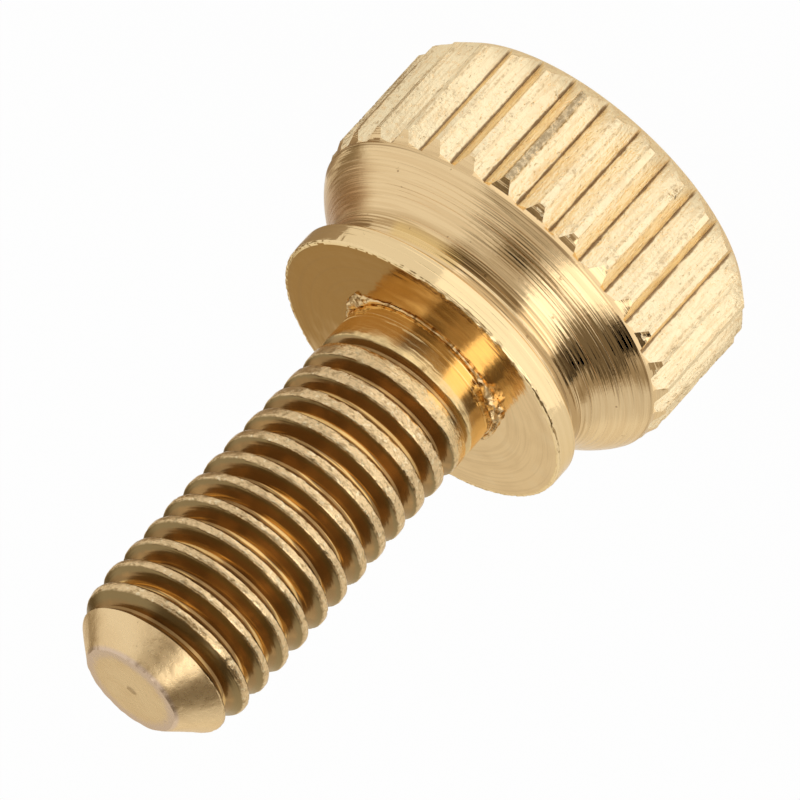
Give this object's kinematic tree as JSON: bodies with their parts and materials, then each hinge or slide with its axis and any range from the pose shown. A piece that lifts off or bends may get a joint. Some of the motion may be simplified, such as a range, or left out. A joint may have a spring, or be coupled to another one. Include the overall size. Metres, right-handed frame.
{
  "type": "thumb screw",
  "caption": "Knurled brass thumb screw: a flared head with a raised bearing collar, a plain neck and a right-hand metric thread with a chamfered tip.",
  "frame": {"origin": "centre of the collar's bearing face", "axes": "+Z along the screw's axis, from the head towards the tip"},
  "size_m": [0.0108, 0.0108, 0.0187],
  "materials": {
    "brass": "bare turned brass, bright, with tool marks"
  },
  "bodies": {
    "root": {"thumb_screw": "brass"}
  },
  "joints": []
}
